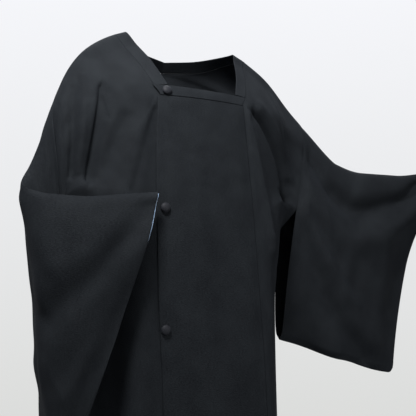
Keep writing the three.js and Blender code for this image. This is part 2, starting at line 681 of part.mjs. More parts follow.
const coat = new THREE.Group();
coat.name = 'michiyuki_coat';
coat.add(
  bodyHalf('right'),
  bodyHalf('left'),
  ...sleevePieces('right'),
  ...sleevePieces('left'),
  ...frontPanels(),
  ...neckbands(),
  ...BUTTONS.map(button),
);

export default coat;
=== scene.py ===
import math

import bpy
import numpy as np
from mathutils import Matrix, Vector


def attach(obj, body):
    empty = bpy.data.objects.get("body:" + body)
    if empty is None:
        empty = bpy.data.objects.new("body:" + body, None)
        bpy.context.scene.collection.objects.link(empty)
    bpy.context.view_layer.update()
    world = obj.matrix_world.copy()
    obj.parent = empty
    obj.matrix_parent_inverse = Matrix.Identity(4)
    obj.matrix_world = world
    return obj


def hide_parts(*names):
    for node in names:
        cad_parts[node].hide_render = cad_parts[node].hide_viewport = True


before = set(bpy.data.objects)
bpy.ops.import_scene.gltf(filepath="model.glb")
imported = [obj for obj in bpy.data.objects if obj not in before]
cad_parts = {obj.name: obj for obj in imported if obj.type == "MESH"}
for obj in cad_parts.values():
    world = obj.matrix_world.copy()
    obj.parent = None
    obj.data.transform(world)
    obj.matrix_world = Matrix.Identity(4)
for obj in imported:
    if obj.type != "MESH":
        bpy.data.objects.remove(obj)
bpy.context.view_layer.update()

# ---------------------------------------------------------------------------
# Sleeves
# Two lengths of wool crepe, each folded over an arm and hung from the body's armhole. A sleeve is
# sewn to the body above, open below the arm, and sewn shut below the hand. Shapes are in
# millimetres, and each wall of cloth is closed, with its lining on the inner face.
# ---------------------------------------------------------------------------

CLOTH = 1.8            # outer cloth, lining and seam allowances together
SEAM = 0.3             # space between two pieces at a seam
SLEEVE_WIDTH = 346     # armhole to cuff, on the cloth
SLEEVE_DROP = 455      # top fold to bottom fold, on the cloth
ARMHOLE = 0.42         # share of the drop that is sewn to the body
HAND_OPENING = 0.5     # share of the drop that is left open at the cuff
CORNER = 20            # radius of the sleeve's round lower corner
LEAST_OPEN = 0.3       # how near a fold may bring a sleeve's layers, of their even distance
CUFF_FACING = 14       # outer cloth turned in behind the lining's edge at a cuff
LINED_FROM = 190       # crepe facing inside a sleeve, from its inner edge to the lining
INTO_SLEEVE = 0.04     # place in a sleeve that gives the cloth's way across its armhole
FOLDS_FROM = 0.06      # share over which folds grow from a sleeve's seam and its top fold
SLACK = 0.8            # height of the slack of hanging cloth
SLACK_WAVES = 14
UV_METRES = 2          # one unit of the UV map, in metres of cloth
SIGN = {"right": -1, "left": 1}


def table(columns, *rows):
    """A table of numbers, one array for each named column."""
    return dict(zip(columns.split(), np.array(rows, float).T))


# Where a sleeve hangs, from the armhole (0) to the cuff (1). x y z place its top fold, and its
# bottom fold hangs `drop` lower, moved by toX and toY. `curl` is how early that move comes, and
# `back` and `front` are how far the two layers stand off the middle of the hanging sleeve.
STATIONS = {
    "right": table(
        "at x y z drop toX toY curl back front steady",
        (0.00, -257, 5, -147, 452, 36, 0, 0.0, 58, 56, 8),
        (0.12, -268, 8, -182, 452, 30, -2, 0.1, 51, 47, 10),
        (0.22, -277, 6, -218, 450, 30, -6, 0.5, 43, 37, 12),
        (0.34, -300, -4, -276, 450, 40, -12, 0.8, 27, 24, 12),
        (0.43, -322, -34, -317, 450, 44, -18, 0.9, 6, 16, 0),
        (0.54, -286, -76, -338, 450, 10, -18, 0.8, 26, 24, 0),
        (0.70, -226, -112, -344, 450, -40, -16, 0.2, 34, 30, 0),
        (0.86, -162, -131, -338, 450, -98, -12, -0.2, 29, 21, 0),
        (1.00, -106, -140, -332, 452, -150, -12, -0.3, 22, 13, 0),
    ),
    "left": table(
        "at x y z drop toX toY curl back front steady",
        (0.00, 284, 0, -139, 452, -72, -20, 0.57, 56, 40, 0),
        (0.25, 370, -8, -216, 396, -85, -20, 0.57, 48, 44, 0),
        (0.50, 430, -22, -233, 400, -82, -15, 0.57, 42, 40, 0),
        (0.75, 510, -36, -234, 418, -92, -8, 0.57, 36, 34, 0),
        (1.00, 608, -42, -219, 444, -130, -3, 0.57, 28, 25, 0),
    ),
}

# How full a sleeve is between its layers, by share of the drop: round over the arm, flat below.
FULLNESS = table(
    "at share",
    (0.00, 0.00), (0.02, 0.36), (0.06, 0.62), (0.12, 0.82), (0.25, 1.00),
    (0.45, 0.90), (0.70, 0.62), (0.90, 0.42), (0.97, 0.28), (1.00, 0.00),
)

# Folds: from and to in mm from the armhole and below the top fold, sideways bow, height at each
# end (ridges over 0), and how far the fold reaches on the two sides of its line.
FOLD = "a0 b0 a1 b1 bow start end near far"
SLEEVE_FOLDS = {
    ("right", "back"): table(
        FOLD,
        (336, 26, 196, 216, -14, -9, -14, 26, 26),
        (330, 70, 262, 330, -16, 4, 8, 24, 24),
        (150, 30, 204, 124, 0, 4, 4, 18, 18),
        (20, 120, 96, 300, 0, -8, -12, 26, 26),
        (70, 60, 120, 330, 8, 6, 9, 26, 26),
    ),
    ("right", "front"): table(
        FOLD,
        (84, 12, 92, 130, 0, 5, 4, 20, 20),
    ),
    ("right", "middle"): table(
        FOLD,
        (250, 330, 262, 455, 0, 2, 9, 28, 28),
        (180, 300, 190, 455, 0, 0, -9, 28, 28),
        (60, 300, 54, 455, 0, 0, 8, 28, 28),
    ),
    ("left", "back"): table(
        FOLD,
        (10, 80, 330, 40, 60, -9, -7, 26, 26),
        (6, 196, 240, 400, 6, 6, 10, 32, 32),
        (60, 260, 300, 410, 0, -5, -8, 26, 26),
    ),
    ("left", "front"): table(
        FOLD,
        (10, 60, 330, 30, 62, -8, -7, 24, 24),
        (8, 192, 256, 404, 8, 5, 11, 32, 32),
        (10, 222, 238, 436, 12, -6, -9, 24, 24),
        (300, 190, 316, 380, 0, -4, -3, 24, 24),
    ),
    ("left", "middle"): table(
        FOLD,
        (70, 330, 74, 455, 0, 0, 7, 28, 28),
        (150, 340, 156, 455, 0, 0, -8, 28, 28),
        (230, 330, 236, 455, 0, 0, 6, 28, 28),
    ),
}

# Creases, narrow beside the folds: the same columns.
SLEEVE_CREASES = {
    ("right", "front"): table(
        FOLD,
        (161, 41, 196, 112, 4, 1.5, 0.5, 4, 12),
        (22, 22, 30, 170, -2, -7.0, -8.0, 8, 10),
        (46, 16, 60, 150, 0, 4.0, 4.5, 10, 10),
        (76, 26, 92, 110, 0, -3.0, -2.0, 8, 8),
    ),
    ("right", "back"): table(
        FOLD,
        (202, 285, 254, 343, 3, 1.5, 0.8, 4, 14),
    ),
    ("left", "front"): table(
        FOLD,
        (63, 140, 92, 254, -4, 1.6, 0.6, 4, 14),
        (12, 201, 98, 324, -6, -2.0, -1.0, 5, 16),
        (48, 66, 330, 26, 44, -10, -14, 26, 32),
        (80, 92, 190, 108, 4, -8, -9, 24, 30),
        (12, 172, 190, 326, 4, 7, 5, 15, 20),
        (20, 136, 300, 108, 56, 9, 8, 30, 34),
    ),
    ("left", "back"): table(
        FOLD,
        (40, 150, 120, 300, 6, 1.6, 0.8, 5, 16),
    ),
}


def column(rows, name, at):
    """A column of a table at places between its rows, by a cubic that never overshoots them."""
    x, y = rows["at"], rows[name]
    slope = np.diff(y) / np.diff(x)
    before, after = slope[:-1], slope[1:]
    even = np.where(before * after > 0, before + after, 1)
    turning = np.where(before * after > 0, 2 * before * after / even, 0)
    tangent = np.concatenate([slope[:1], turning, slope[-1:]])
    at = np.clip(at, x[0], x[-1])
    k = np.clip(np.searchsorted(x, at, side="right") - 1, 0, len(x) - 2)
    span = x[k + 1] - x[k]
    t = (at - x[k]) / span
    s = 1 - t
    return (y[k] * s * s * (1 + 2 * t) + y[k + 1] * t * t * (1 + 2 * s)
            + tangent[k] * span * t * s * s - tangent[k + 1] * span * t * t * s)


def place(rows, at):
    return np.stack([column(rows, axis, at) for axis in "xyz"], -1)


def smoothstep(low, high, value):
    t = np.clip((np.asarray(value, float) - low) / (high - low), 0, 1)
    return t * t * (3 - 2 * t)


def unit(vectors):
    return vectors / np.linalg.norm(vectors, axis=-1, keepdims=True)


def shares(count, ease=0.0):
    """Shares from 0 to 1 in `count` steps, closer together at both ends the more they ease."""
    even = np.linspace(0, 1, count + 1)
    return even * (1 - ease) + ease * 0.5 * (1 - np.cos(np.pi * even))


def relief(folds, a, b):
    """The height that a table of folds gives at places a, b."""
    height = np.zeros(np.broadcast(a, b).shape)
    for a0, b0, a1, b1, bow, start, end, near, far in zip(*folds.values()):
        length = math.hypot(a1 - a0, b1 - b0)
        way = ((a - a0) * (a1 - a0) + (b - b0) * (b1 - b0)) / length
        share = np.clip(way / length, 0, 1)
        aside = ((b - b0) * (a1 - a0) - (a - a0) * (b1 - b0)) / length
        aside = aside - bow * 4 * share * (1 - share)
        reach = np.where(aside < 0, near, far)
        apart = (aside ** 2 + (way - share * length) ** 2) / reach ** 2
        height = height + (start + (end - start) * share) * np.exp(-apart)
    return height


def slack(seed, a, b, height):
    """The slight unevenness of hanging cloth: long shallow waves at places a, b."""
    chance = np.random.default_rng(seed)
    waves = np.zeros(np.broadcast(a, b).shape)
    for _ in range(SLACK_WAVES):
        length = chance.uniform(38, 150)
        turn = chance.normal(0, 0.55)
        phase = chance.uniform(0, 2 * np.pi)
        waves = waves + np.sin(
            2 * np.pi * (a * math.cos(turn) + b * math.sin(turn)) / length + phase)
    return height * waves / math.sqrt(SLACK_WAVES / 2)


def sleeve_middle(side, at, down):
    """The middle of the hanging sleeve, between its two layers."""
    rows = STATIONS[side]
    swing = down * (1 + column(rows, "curl", at) * (1 - down))
    to_cuff = np.clip((1 - at) * SLEEVE_WIDTH, 0, CORNER)
    corner = CORNER - np.sqrt(CORNER ** 2 - (CORNER - to_cuff) ** 2)
    move = np.stack([
        column(rows, "toX", at) * swing,
        column(rows, "toY", at) * swing,
        -(column(rows, "drop", at) - corner) * down,
    ], -1)
    return place(rows, at) + move


def sleeve_point(side, at, down, layer, creased=False):
    """Points of one layer of a sleeve: layer 1 is the back one and -1 the front one."""
    at, down = np.broadcast_arrays(np.asarray(at, float), np.asarray(down, float))
    step = 0.02
    travel = (sleeve_middle(side, np.minimum(at + step, 1), down)
              - sleeve_middle(side, np.maximum(at - step, 0), down))
    travel[..., 2] = 0
    travel[..., 0] += SIGN[side] * column(STATIONS[side], "steady", at)
    travel = unit(travel)
    to_back = np.stack([-travel[..., 1], travel[..., 0], 0 * at], -1) * SIGN[side]
    face = "back" if layer > 0 else "front"
    along, below = at * SLEEVE_WIDTH, down * SLEEVE_DROP
    from_seam = smoothstep(0, FOLDS_FROM, at) * smoothstep(0, FOLDS_FROM, down)
    even = column(STATIONS[side], face, at) * column(FULLNESS, "share", down)
    height = relief(SLEEVE_FOLDS[side, face], along, below)
    if creased:
        height = height + relief(SLEEVE_CREASES[side, face], along, below)
        height = height + slack(11 + layer, along, below, SLACK)
    folded = even + height * from_seam
    touching = np.minimum(even, 0.5 * (CLOTH + SEAM))
    stand = np.maximum.reduce([folded, LEAST_OPEN * even, touching])
    shut = smoothstep(0.7, 1, at) * smoothstep(0.3 * HAND_OPENING, HAND_OPENING, down)
    stand = layer * (stand + (touching - stand) * shut)
    sway = relief(SLEEVE_FOLDS[side, "middle"], along, below) * smoothstep(0, 0.2, at)
    return sleeve_middle(side, at, down) + to_back * (stand + sway)[..., None]


def sleeve_rings(side, stations, drops):
    """Rings of points from the top fold down the back layer and up the front layer."""
    at = stations[:, None]
    back = sleeve_point(side, at, drops[None], 1, creased=True)
    front = sleeve_point(side, at, drops[None, -2:0:-1], -1, creased=True)
    return np.concatenate([back, front], 1)


def grid_normals(grid, facing, ring=False):
    """The directions across a grid of points, on the side that `facing` (1 or -1) names."""
    along = np.gradient(grid, axis=0)
    if ring:
        across = np.roll(grid, -1, 1) - np.roll(grid, 1, 1)
    else:
        across = np.gradient(grid, axis=1)
    return unit(np.cross(along, across)) * facing


def armhole_normal(side, down, layer):
    """The direction in which the cloth faces along the armhole seam."""
    step = 0.01
    down = np.asarray(down, float)
    before = np.where((down > step)[..., None],
                      sleeve_point(side, 0, np.maximum(down - step, 0), layer),
                      sleeve_point(side, 0, step, -layer))
    along = sleeve_point(side, 0, down + step, layer) - before
    away = sleeve_point(side, INTO_SLEEVE, down, layer) - sleeve_point(side, 0, down, layer)
    return unit(np.cross(away, along)) * layer * SIGN[side]


def skin(name, loops, uv, lined, facing, closed, ends, materials):
    """A closed mesh over loops of points. With `closed` the last loop joins the first; otherwise
    `ends` gives the numbers of places on the outer face and on the first rim, for the two caps."""
    count, around = loops.shape[:2]
    index = np.arange(count * around).reshape(count, around)
    index = np.concatenate([index, index[:, :1]], 1)
    lined = np.concatenate([lined, lined[:, :1]], 1)
    if closed:
        index, uv, lined = (np.concatenate([x, x[:1]]) for x in (index, uv, lined))
    corners = [(slice(None, -1), slice(None, -1)), (slice(1, None), slice(None, -1)),
               (slice(1, None), slice(1, None)), (slice(None, -1), slice(1, None))]
    faces = np.stack([index[c] for c in corners], -1).reshape(-1, 4).tolist()
    maps = np.stack([uv[c] for c in corners], 2).reshape(-1, 4, 2).tolist()
    inner = np.logical_and.reduce([lined[c] for c in corners]).ravel().tolist()
    if not closed:
        wide, rim = ends
        for row, turn in ((0, 1), (count - 1, -1)):
            outer = list(range(wide))
            under = [2 * wide + rim - 1 - j for j in outer]
            caps = [[j, j + 1, under[j + 1], under[j]] for j in outer[:-1]]
            caps.append(list(range(wide - 1, wide + rim + 1)))
            caps.append([*range(2 * wide + rim - 1, around), 0])
            for cap in caps:
                if len(cap) > 2:
                    faces.append([int(index[row, j]) for j in cap[::turn]])
                    maps.append([uv[row, j].tolist() for j in cap[::turn]])
                    inner.append(False)
    if facing < 0:
        faces, maps = [f[::-1] for f in faces], [m[::-1] for m in maps]
    mesh = bpy.data.meshes.new(name)
    mesh.from_pydata((loops.reshape(-1, 3) / 1000).tolist(), [], faces)
    layer = mesh.uv_layers.new(name="Cut")
    layer.uv.foreach_set("vector", np.array([c for m in maps for c in m], np.float32).ravel())
    for material in materials:
        mesh.materials.append(material)
    mesh.polygons.foreach_set("material_index", np.array(inner, np.int32))
    mesh.polygons.foreach_set("use_smooth", np.ones(len(faces), bool))
    mesh.set_sharp_from_angle(angle=math.radians(50))
    mesh.validate()
    piece = bpy.data.objects.new(name, mesh)
    bpy.context.scene.collection.objects.link(piece)
    return piece


# Degrees around a turned edge from its outer face, and around the end of a turned corner.
ROUND_EDGE, ROUND_END = (45, 90, 135), (24, 48, 72)


def cloth_piece(name, grid, normals, uv, facing, materials, folded="", lined=None,
                ring=False, thickness=CLOTH):
    """A wall of cloth around a grid of points. The edges named in `folded` (first, last, near,
    far) are turned edges with a round rim; the others are cut square, to meet a neighbour."""
    half = 0.5 * thickness
    grid = grid.copy()
    lined = np.zeros(grid.shape[:2], bool) if lined is None else lined
    out = {
        "first": unit(grid[0] - grid[1]), "last": unit(grid[-1] - grid[-2]),
        "near": unit(grid[:, 0] - grid[:, 1]), "far": unit(grid[:, -1] - grid[:, -2]),
    }
    for edge, where in (("first", np.s_[0]), ("last", np.s_[-1]),
                        ("near", np.s_[:, 0]), ("far", np.s_[:, -1])):
        if edge in folded:
            grid[where] -= out[edge] * half
    if ring:
        rims = {}
        for edge, row, turns in (("last", -1, ROUND_EDGE), ("first", 0, ROUND_EDGE[::-1])):
            turn = np.radians(turns if edge in folded else ())[:, None, None]
            rims[edge] = grid[row] + half * (normals[row] * np.cos(turn)
                                             + out[edge] * np.sin(turn))
        outer, under = grid + normals * half, grid - normals * half
        loops = np.concatenate([outer, rims["last"], under[::-1], rims["first"]])
        bare = {edge: np.zeros(rim.shape[:2], bool) for edge, rim in rims.items()}
        marks = np.concatenate([np.zeros_like(lined), bare["last"], lined[::-1], bare["first"]])
        maps = np.concatenate([uv, uv[-1:].repeat(len(rims["last"]), 0),
                               uv[::-1], uv[:1].repeat(len(rims["first"]), 0)])
        return skin(name, loops, maps, marks, facing, True, None, materials)
    halves = np.full(len(grid), half)
    near, far = out["near"], out["far"]
    for edge in ("first", "last"):
        if edge not in folded:
            continue
        turn = np.radians(ROUND_END if edge == "last" else ROUND_END[::-1])
        more = len(turn)
        row = slice(-1, None) if edge == "last" else slice(0, 1)
        rim = grid[row] + out[edge] * (half * np.sin(turn))[:, None, None]
        added = [(grid, rim), (normals, normals[row].repeat(more, 0)),
                 (uv, uv[row].repeat(more, 0)), (lined, np.zeros((more, grid.shape[1]), bool)),
                 (halves, half * np.cos(turn)), (near, near[row].repeat(more, 0)),
                 (far, far[row].repeat(more, 0))]
        if edge == "first":
            added = [pair[::-1] for pair in added]
        grid, normals, uv, lined, halves, near, far = (np.concatenate(p) for p in added)
    deep = halves[:, None, None]
    wide = grid.shape[1]
    rims = []
    for edge, at, away, turns in (("far", -1, far, ROUND_EDGE),
                                  ("near", 0, near, ROUND_EDGE[::-1])):
        turn = np.radians(turns if edge in folded else ())[None, :, None]
        tip = grid[:, at, None]
        rims.append(tip + deep * (normals[:, at, None] * np.cos(turn)
                                  + away[:, None] * np.sin(turn)))
    loops = np.concatenate([grid + normals * deep, rims[0],
                            (grid - normals * deep)[:, ::-1], rims[1]], 1)
    marks = np.concatenate([np.zeros_like(lined), np.zeros(rims[0].shape[:2], bool),
                            lined[:, ::-1], np.zeros(rims[1].shape[:2], bool)], 1)
    uv = uv[:, :wide]
    maps = np.concatenate([uv, uv[:, -1:].repeat(rims[0].shape[1], 1), uv[:, ::-1],
                           uv[:, :1].repeat(rims[1].shape[1] + 1, 1)], 1)
    return skin(name, loops, maps, marks, facing, False, (wide, rims[0].shape[1]), materials)


def linear(colour):
    """An sRGB hex colour as linear red, green, blue and alpha."""
    parts = [int(colour[k:k + 2], 16) / 255 for k in (1, 3, 5)]
    return (*(c / 12.92 if c <= 0.04045 else ((c + 0.055) / 1.055) ** 2.4 for c in parts), 1)


def add_node(material, kind, inputs=None, **settings):
    """Adds a shader node with its settings, and its inputs' values or links."""
    node = material.node_tree.nodes.new("ShaderNode" + kind)
    for name, value in settings.items():
        setattr(node, name, value)
    for name, value in (inputs or {}).items():
        if isinstance(value, bpy.types.NodeSocket):
            material.node_tree.links.new(value, node.inputs[name])
        else:
            node.inputs[name].default_value = value
    return node


def new_material(name):
    material = bpy.data.materials.new(name)
    material.use_nodes = True
    material.node_tree.nodes.clear()
    return material


# Black crepe (chirimen), woven with hard-twisted weft, dyed in the piece: its pebbled face is
# matt, with a faint bloom where light grazes it. Its black is slightly uneven: soft patches of
# the dye, and a painted highlight that lightens the raised pebbles and ribs.
CREPE_DARK = "#08090b"
CREPE_LIGHT = "#141618"
CREPE_BLOOM = "#9aa3b4"
CREPE_PEBBLE = 1.9     # mm, drawn about twice as coarse as the real grain, so that it shows
CREPE_RIB = 1.3        # mm, spacing of the weft's faint ribs, drawn twice as coarse
CREPE_CLOUD = 60       # mm, across the soft patches of the dye

crepe = new_material("wool_silk_crepe")
cut_map = add_node(crepe, "UVMap", uv_map="Cut")
in_mm = add_node(crepe, "Mapping", {
    "Vector": cut_map.outputs["UV"], "Scale": (1000 * UV_METRES, 1000 * UV_METRES, 1)})
stretched = add_node(crepe, "Mapping", {
    "Vector": in_mm.outputs["Vector"], "Scale": (0.35, 1, 1)})
pebble = add_node(crepe, "TexNoise", {
    "Vector": in_mm.outputs["Vector"], "Scale": 1 / CREPE_PEBBLE, "Detail": 3, "Roughness": 0.6})
ribs = add_node(crepe, "TexNoise", {
    "Vector": stretched.outputs["Vector"], "Scale": 1 / CREPE_RIB, "Detail": 1, "Roughness": 0.5})
cloud = add_node(crepe, "TexNoise", {
    "Vector": in_mm.outputs["Vector"], "Scale": 1 / CREPE_CLOUD, "Detail": 4, "Roughness": 0.6})
grain = add_node(crepe, "Math", {
    0: pebble.outputs["Fac"], 1: ribs.outputs["Fac"]}, operation="ADD")
# Colour from the grain and the cloud. The grain paints a highlight on the raised pebbles and ribs,
# and the cloud gives the dye's soft patches.
depth = add_node(crepe, "Math", {
    0: grain.outputs["Value"], 1: 1.5, 2: cloud.outputs["Fac"]}, operation="MULTIPLY_ADD")
spread = add_node(crepe, "MapRange", {
    "Value": depth.outputs["Value"], "From Min": 1.5, "From Max": 2.5})
tone = add_node(crepe, "Mix", {
    0: spread.outputs["Result"], 6: linear(CREPE_DARK), 7: linear(CREPE_LIGHT)},
    data_type="RGBA")
bump = add_node(crepe, "Bump", {
    "Height": grain.outputs["Value"], "Strength": 0.8, "Distance": 0.0005})
shader = add_node(crepe, "BsdfPrincipled", {
    "Base Color": tone.outputs[2], "Roughness": 0.72, "Specular IOR Level": 0.01,
    "Sheen Weight": 0.012, "Sheen Roughness": 0.55, "Sheen Tint": linear(CREPE_BLOOM),
    "Normal": bump.outputs["Normal"]})
add_node(crepe, "OutputMaterial", {"Surface": shader.outputs["BSDF"]})

# Pale-blue plain-woven silk lining (habutae): thin, smooth and softly lustrous, its threads too
# fine to see, with long faint shade differences along the warp.
LINING_LIGHT = "#5f7389"
LINING_DARK = "#4a5c70"
LINING_THREAD = 1.1    # mm, drawn several times as coarse as the real threads

silk = new_material("habutae_silk_lining")
silk_map = add_node(silk, "UVMap", uv_map="Cut")
silk_mm = add_node(silk, "Mapping", {
    "Vector": silk_map.outputs["UV"], "Scale": (1000 * UV_METRES, 1000 * UV_METRES, 1)})
warp = add_node(silk, "Mapping", {"Vector": silk_mm.outputs["Vector"], "Scale": (1, 0.04, 1)})
thread = add_node(silk, "TexNoise", {
    "Vector": warp.outputs["Vector"], "Scale": 1 / LINING_THREAD, "Detail": 2})
silk_tone = add_node(silk, "Mix", {
    0: thread.outputs["Fac"], 6: linear(LINING_DARK), 7: linear(LINING_LIGHT)},
    data_type="RGBA")
silk_bump = add_node(silk, "Bump", {
    "Height": thread.outputs["Fac"], "Strength": 0.2, "Distance": 0.0001})
silk_shader = add_node(silk, "BsdfPrincipled", {
    "Base Color": silk_tone.outputs[2], "Roughness": 0.42, "Sheen Weight": 0.15,
    "Normal": silk_bump.outputs["Normal"]})
add_node(silk, "OutputMaterial", {"Surface": silk_shader.outputs["BSDF"]})

SLEEVE_STEPS = 100     # steps from armhole to cuff
LAYER_STEPS = 126      # steps from top fold to bottom fold, on each layer
sleeves = {}
for side in ("right", "left"):
    stations, drops = shares(SLEEVE_STEPS), shares(LAYER_STEPS, 0.45)
    rings = sleeve_rings(side, stations, drops)
    rings[0] += unit(rings[1] - rings[0]) * SEAM
    across = grid_normals(rings, SIGN[side], ring=True)
    sewn = drops <= ARMHOLE + 0.02
    last_sewn = int(sewn.sum())
    across[0, :last_sewn] = armhole_normal(side, drops[sewn], 1)
    across[0, -1:-last_sewn:-1] = armhole_normal(side, drops[1:last_sewn], -1)
    around = np.concatenate([drops, 2 - drops[-2::-1]]) * SLEEVE_DROP
    uv = np.stack(np.broadcast_arrays(stations[:, None] * SLEEVE_WIDTH, around[None]), -1)
    into = stations * SLEEVE_WIDTH
    lined = (into > LINED_FROM) & (into < SLEEVE_WIDTH - CUFF_FACING)
    lined = np.broadcast_to(lined[:, None], rings.shape[:2])
    sleeve = cloth_piece(f"sleeve_{side}_cloth", rings, across, uv / (1000 * UV_METRES),
                         SIGN[side], (crepe, silk), folded="last", lined=lined, ring=True)
    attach(sleeve, "root")
    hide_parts(f"sleeve_{side}")
    sleeves[side] = (sleeve, rings, across, drops)

# ---------------------------------------------------------------------------
# Body halves
# Two lengths of the same crepe, each from the front hem over the shoulder to the back hem. They
# meet in the centre-back seam, and each takes a sleeve, a front panel and half of the neckband.
# ---------------------------------------------------------------------------

HEM = 1
SEWN_TO_SLEEVE = 0.45  # places are shares of the way from the shoulder (0) to a hem (-1 front)
BAND_END = 0.17        # where the neckband ends in front
BACK_NECK = 0.12       # where it reaches the centre back
EDGE_FACING = 0.022    # outer cloth turned in at the hems, as a share of the length
NECK_FACING = 0.19     # how far down the inside of the neck is faced with crepe
SIDE_FACING = 0.8      # where the facing along the armholes and sides begins

# The inner edge of each half: along the neckband, then down the front panel's seam before the
# shoulder and down the centre-back seam behind it. `fall` is the slope with which the cloth
# leaves that edge, and `round` how full its curve is on the way to the far edge.
INNER_EDGE = {
    "right": table(
        "at x y z fall round",
        (-1.00, -76, -130, -900, 0.00, 0.42),
        (-0.80, -79, -127, -700, 0.00, 0.42),
        (-0.60, -87, -121, -500, 0.00, 0.42),
        (-0.45, -89, -113, -345, 0.00, 0.40),
        (-0.30, -86, -101, -222, -0.08, 0.38),
        (-0.20, -81, -91, -141, -0.16, 0.36),
        (-0.17, -93, -82, -118, -0.20, 0.36),
        (-0.10, -110, -45, -67, -0.28, 0.36),
        (-0.05, -126, -19, -33, -0.46, 0.42),
        (0.00, -142, 5, -1, -0.55, 0.44),
        (0.04, -127, 44, -6, -0.46, 0.42),
        (0.08, -78, 84, -23, -0.25, 0.40),
        (0.12, -0.04, 101, -33, -0.10, 0.50),
        (0.20, -0.04, 111, -108, -0.04, 0.50),
        (0.45, -0.04, 121, -345, 0.00, 0.46),
        (0.60, -0.04, 114, -480, 0.00, 0.46),
        (0.80, -0.04, 110, -690, 0.00, 0.46),
        (1.00, -0.04, 118, -900, 0.00, 0.46),
    ),
    "left": table(
        "at x y z fall round",
        (-1.00, 118, -138, -900, 0.00, 0.34),
        (-0.80, 114, -135, -700, 0.00, 0.34),
        (-0.60, 104, -129, -500, 0.00, 0.36),
        (-0.45, 97, -120, -345, 0.00, 0.40),
        (-0.30, 92, -107, -222, -0.08, 0.38),
        (-0.20, 90, -96, -141, -0.16, 0.36),
        (-0.17, 101, -86, -120, -0.20, 0.36),
        (-0.10, 122, -48, -72, -0.28, 0.36),
        (-0.05, 132, -20, -39, -0.42, 0.40),
        (0.00, 141, 5, -11, -0.50, 0.42),
        (0.04, 127, 44, -12, -0.42, 0.40),
        (0.08, 78, 84, -25, -0.25, 0.40),
        (0.12, 0.04, 101, -33, -0.10, 0.50),
        (0.20, 0.04, 111, -108, -0.04, 0.50),
        (0.45, 0.04, 121, -345, 0.00, 0.46),
        (0.60, 0.04, 114, -480, 0.00, 0.46),
        (0.80, 0.04, 110, -690, 0.00, 0.46),
        (1.00, 0.04, 118, -900, 0.00, 0.46),
    ),
}

# The side edges below the armhole. `open` is half the space between the front's and the back's
# edge: the side is open under the arm and sewn from there down.
SIDE_EDGE = {
    "right": ((0.52, -222, 0, -392, 26), (0.62, -200, 0, -492, 0.03),
              (0.80, -195, 0, -690, 0.03), (1.00, -200, 0, -900, 0.03)),
    "left": ((0.52, 202, 0, -386, 26), (0.62, 185, 0, -492, 0.03),
             (0.80, 178, 0, -690, 0.03), (1.00, 174, 0, -900, 0.03)),
}

# Folds in x and z, with the sleeves' columns; `far` is the reach towards the wearer's left.
BODY_FOLDS = {
    ("right", "front"): table(
        FOLD,
        (-180, -140, -210, -296, 0, -9, -13, 15, 15),
        (-207, -64, -241, -290, -14, -4, -6, 14, 15),
        (-182, -200, -208, -320, 0, 3, 4, 10, 10),
        (-150, -190, -200, -312, 0, -5, -8, 15, 15),
        (-104, -165, -170, -420, -4, 4, 8, 20, 20),
        (-116, -470, -146, -900, 0, 3, 7, 18, 18),
        (-166, -440, -182, -900, 0, -8, -16, 24, 24),
    ),
    ("right", "back"): table(
        FOLD,
        (-236, -300, -120, -215, 6, -10, -3, 24, 24),
        (-238, -335, -95, -300, 8, 8, 3, 24, 24),
        (-86, -170, -116, -520, -6, -3, -8, 26, 26),
        (-52, -480, -66, -900, 0, 2, 7, 24, 24),
        (-128, -560, -140, -900, 0, -4, -11, 24, 24),
    ),
    ("left", "front"): table(
        FOLD,
        (121, -150, 204, -306, 15, -8, -13, 15, 16),
        (134, -140, 214, -262, 9, 8, 5, 13, 16),
        (104, -185, 140, -420, 6, 4, 6, 13, 12),
        (150, -460, 154, -900, 0, -3, -5, 20, 20),
    ),
    ("left", "back"): table(
        FOLD,
        (236, -300, 116, -205, -6, -10, -3, 24, 24),
        (238, -332, 88, -320, -8, 8, 3, 24, 24),
        (72, -160, 104, -540, 6, -3, -9, 24, 24),
        (44, -520, 58, -900, 0, 2, 6, 26, 26),
        (118, -600, 126, -900, 0, -3, -10, 22, 22),
    ),
}

# Creases, narrow beside the folds: the same columns.
BODY_CREASES = {
    ("right", "front"): table(
        FOLD,
        (-186, -130, -174, -190, 0, 2.6, 0.6, 2.5, 10),
        (-188, -128, -213, -306, 0, -6.0, -8.0, 4, 10),
        (-214, -104, -226, -292, 0, 2.4, 3.4, 7, 6),
        (-234, -130, -240, -300, 0, -2.6, -4.0, 6, 7),
        (-99, -172, -142, -326, 0, -2.2, -3.4, 9, 10),
        (-90, -146, -158, -250, 2, 1.3, 0.5, 3, 8),
        (-96, -160, -170, -290, 3, 1.0, 0.4, 3, 8),
    ),
    ("right", "back"): table(
        FOLD,
        (-150, -120, -205, -290, 10, -2.0, -3.0, 10, 6),
    ),
    ("left", "front"): table(
        FOLD,
        (96, -140, 141, -396, 2, 3.0, 3.2, 14, 3),
        (141, -396, 164, -480, 0, 3.0, 0.8, 14, 3),
        (104, -156, 178, -288, 12, 3.0, 3.4, 8, 3),
        (118, -158, 204, -306, 16, -9.0, -9.0, 6, 9),
        (193, -92, 230, -270, -7, 2.4, 1.0, 3, 9),
        (205, -110, 236, -250, -5, 1.6, 0.6, 3, 8),
    ),
    ("left", "back"): table(
        FOLD,
        (140, -120, 205, -290, -10, -2.0, -3.0, 6, 10),
    ),
}


def far_edge(side, at):
    """The far edge of a body half: the armhole, then the open side and the side seam."""
    reach = np.abs(at)
    edge = np.zeros(at.shape + (3,))
    for layer in (-1, 1):
        here = (at < 0) if layer < 0 else (at >= 0)
        sewn = np.minimum(reach / SEWN_TO_SLEEVE, 1)
        armhole = sleeve_point(side, 0, ARMHOLE * sewn, layer)
        end = sleeve_point(side, 0, ARMHOLE, layer)
        below = table("at x y z", (SEWN_TO_SLEEVE, *end),
                      *((share, x, y + layer * open_, z)
                        for share, x, y, z, open_ in SIDE_EDGE[side]))
        whole = np.where((reach <= SEWN_TO_SLEEVE)[..., None], armhole, place(below, reach))
        edge[here] = whole[here]
    return edge


